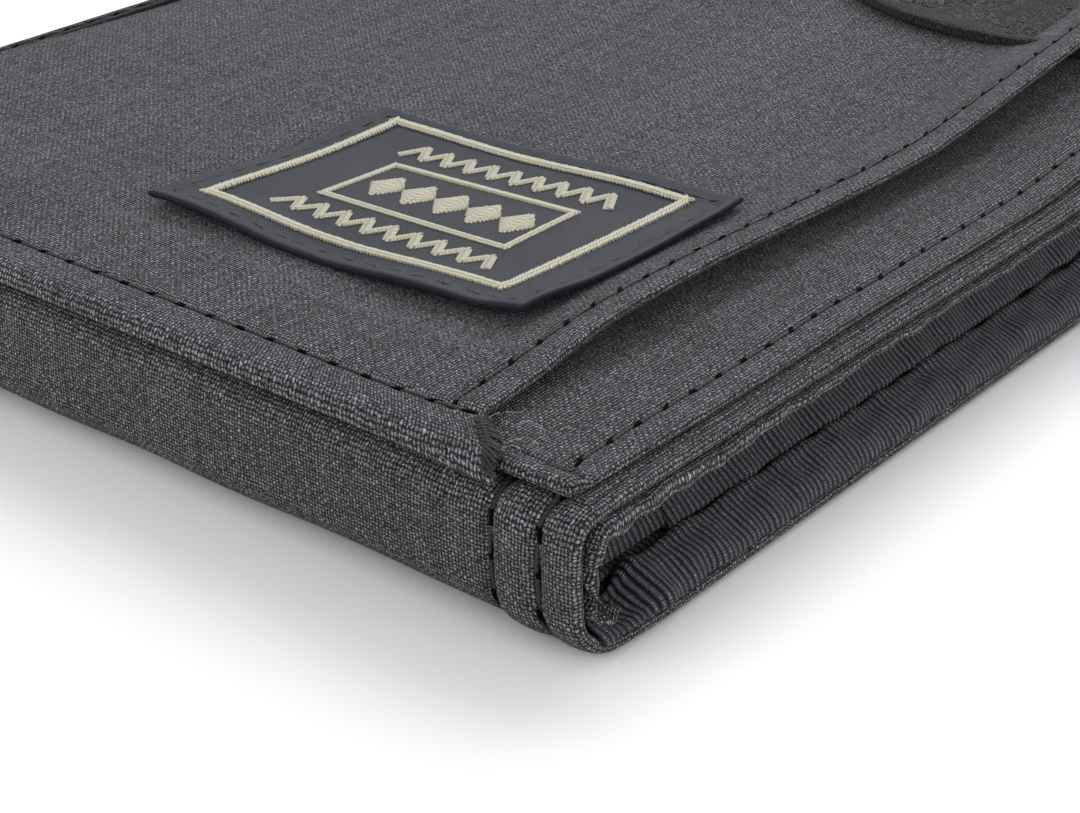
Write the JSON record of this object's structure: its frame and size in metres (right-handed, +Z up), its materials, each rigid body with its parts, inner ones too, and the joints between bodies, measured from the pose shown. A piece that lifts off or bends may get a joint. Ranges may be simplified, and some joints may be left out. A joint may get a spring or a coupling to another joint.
{
  "type": "trifold wallet",
  "caption": "Folded canvas wallet with a slip pocket and sewn label on its cover, a note compartment, card slots and a hook-and-loop tab.",
  "frame": {"origin": "centre of the closed wallet's underside", "axes": "+X towards the mouth side, where notes slide in; +Y from the near fold, which carries the cover, to the far fold, which carries the inner panel; +Z up, away from the surface it lies on"},
  "size_m": [0.0968, 0.1006, 0.0168],
  "materials": {
    "canvas": "matt plain weave",
    "ribbed_lining": "soft sheen, fine ribs",
    "satin": "smooth satin weave",
    "loop_tape": "fuzzy, matt",
    "binding_tape": "matt woven tape"
  },
  "bodies": {
    "back": {"back_shell": "canvas", "back_lip": "ribbed_lining", "back_lining": "ribbed_lining", "bill_divider": "ribbed_lining", "centre_slot_low": "canvas", "centre_slot_high": "canvas", "back_end_binding": "binding_tape", "near_fold_shell": "canvas", "near_fold_facing": "canvas", "near_fold_lining": "ribbed_lining", "far_fold_shell": "canvas", "far_fold_lining": "ribbed_lining", "loop_patch": "loop_tape"},
    "inner_panel": {"inner_shell": "canvas", "inner_lining": "ribbed_lining", "inner_slot": "canvas", "inner_mouth_binding": "ribbed_lining", "inner_end_binding": "binding_tape"},
    "cover": {"cover_shell": "canvas", "cover_facing": "canvas", "cover_lining": "ribbed_lining", "cover_slot": "canvas", "cover_end_binding": "binding_tape", "pocket_back_hem": "canvas", "pocket_back": "canvas", "pocket_front": "canvas", "label": "satin", "tab_base": "loop_tape"},
    "tab": {"tab_strap": "loop_tape", "hook_patch": "loop_tape"}
  },
  "joints": [
    {"name": "cover_fold", "type": "hinge", "parent": "back", "child": "cover", "pos_m": [0, -0.0515, 0.0062], "axis": [1, 0, 0], "range_deg": [0, 175], "deforming": ["near_fold_shell", "near_fold_facing", "near_fold_lining"]},
    {"name": "inner_panel_fold", "type": "hinge", "parent": "back", "child": "inner_panel", "pos_m": [0, 0.0476, 0.0052], "axis": [-1, 0, 0], "range_deg": [0, 180], "deforming": ["far_fold_shell", "far_fold_lining"]},
    {"name": "tab_peel", "type": "hinge", "parent": "cover", "child": "tab", "pos_m": [0.0246, 0.0491, 0.0168], "axis": [1, 0, 0], "range_deg": [0, 150]}
  ],
  "couplings": [
    {"joint": "inner_panel_fold", "follows": "cover_fold", "ratio": 0.15}
  ]
}
